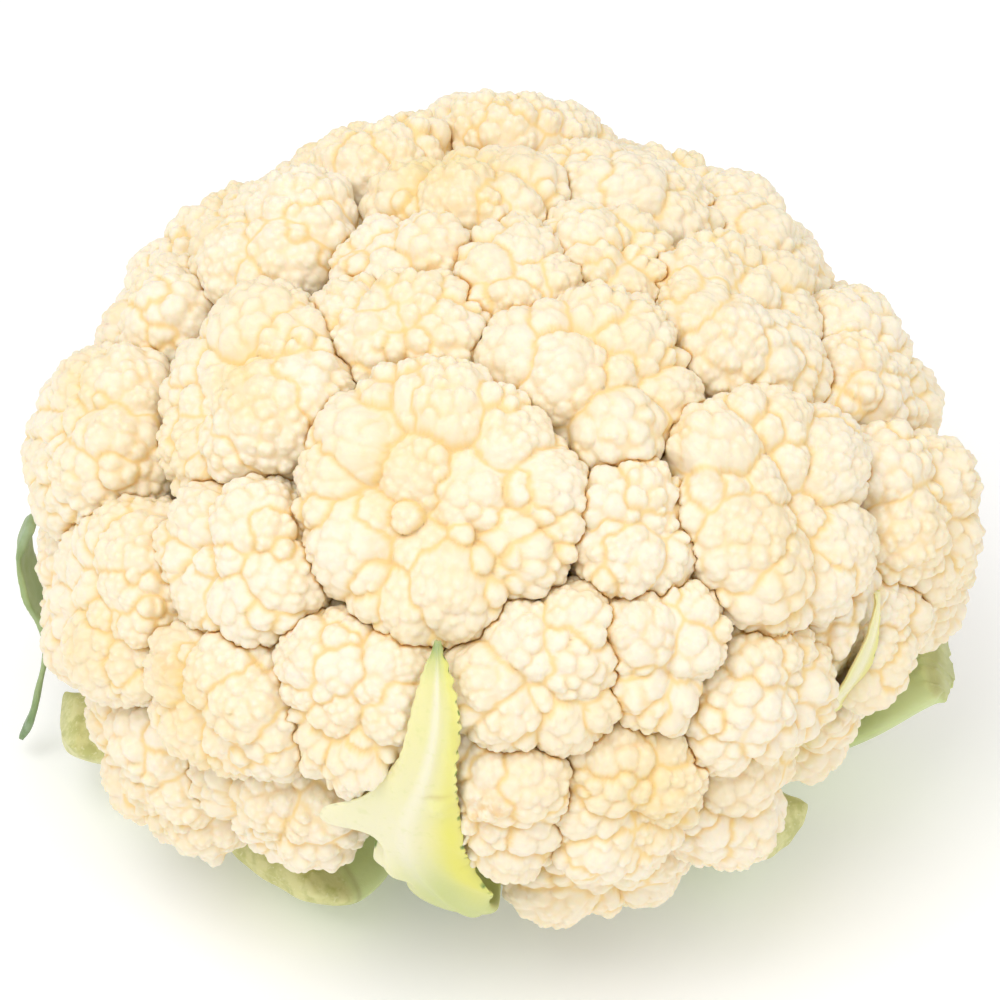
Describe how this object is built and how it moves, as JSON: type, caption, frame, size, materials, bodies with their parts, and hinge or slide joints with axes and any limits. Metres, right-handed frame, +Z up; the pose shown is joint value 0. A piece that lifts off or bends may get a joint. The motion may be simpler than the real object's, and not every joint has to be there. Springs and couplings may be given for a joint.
{
  "type": "cauliflower",
  "caption": "Trimmed whole cauliflower head: domed cream florets round a short cut stalk, with cut leaf stalks and small inner leaves, standing on the stalk's cut face.",
  "frame": {"origin": "centre of the stalk's flat cut face, on which the head stands", "axes": "+Z up the stalk; -Y is the front, with the inner leaf pressed on the curd; +X is the right seen from the front"},
  "size_m": [0.1777, 0.1646, 0.1273],
  "materials": {
    "curd": "cream curd of fine rounded buds, matt and slightly waxy, golden in the creases",
    "stalk": "pale green firm stalk with a moist cut face",
    "leaf_stalk": "smooth pale green leaf stalk, olive and speckled where cut",
    "inner_leaf": "cream to yellow-green young leaf, satin, with a pale midrib",
    "outer_leaf": "blue-green leaf with a dull waxy bloom"
  },
  "bodies": {
    "root": {"floret_crown_1": "curd", "floret_crown_2": "curd", "floret_crown_3": "curd", "floret_crown_4": "curd", "floret_crown_5": "curd", "floret_crown_6": "curd", "floret_crown_7": "curd", "floret_lower_1": "curd", "floret_lower_2": "curd", "floret_lower_3": "curd", "floret_lower_4": "curd", "floret_lower_5": "curd", "floret_lower_6": "curd", "floret_lower_7": "curd", "floret_lower_8": "curd", "floret_middle_1": "curd", "floret_middle_10": "curd", "floret_middle_11": "curd", "floret_middle_2": "curd", "floret_middle_3": "curd", "floret_middle_4": "curd", "floret_middle_5": "curd", "floret_middle_6": "curd", "floret_middle_7": "curd", "floret_middle_8": "curd", "floret_middle_9": "curd", "floret_skirt_1": "curd", "floret_skirt_10": "curd", "floret_skirt_11": "curd", "floret_skirt_12": "curd", "floret_skirt_13": "curd", "floret_skirt_14": "curd", "floret_skirt_2": "curd", "floret_skirt_3": "curd", "floret_skirt_4": "curd", "floret_skirt_5": "curd", "floret_skirt_6": "curd", "floret_skirt_7": "curd", "floret_skirt_8": "curd", "floret_skirt_9": "curd", "floret_upper_1": "curd", "floret_upper_2": "curd", "floret_upper_3": "curd", "floret_upper_4": "curd", "floret_upper_5": "curd", "floret_upper_6": "curd", "floret_upper_7": "curd", "inner_leaf_front": "inner_leaf", "inner_leaf_right": "inner_leaf", "leaf_left_torn": "outer_leaf", "leaf_scrap_front": "outer_leaf", "leaf_stalk_right": "leaf_stalk", "leaf_stump_back": "leaf_stalk", "leaf_stump_back_left": "leaf_stalk", "leaf_stump_back_right": "leaf_stalk", "leaf_stump_front_left": "leaf_stalk", "leaf_stump_front_right": "leaf_stalk", "leaf_stump_left": "leaf_stalk", "stalk": "stalk"}
  },
  "joints": []
}
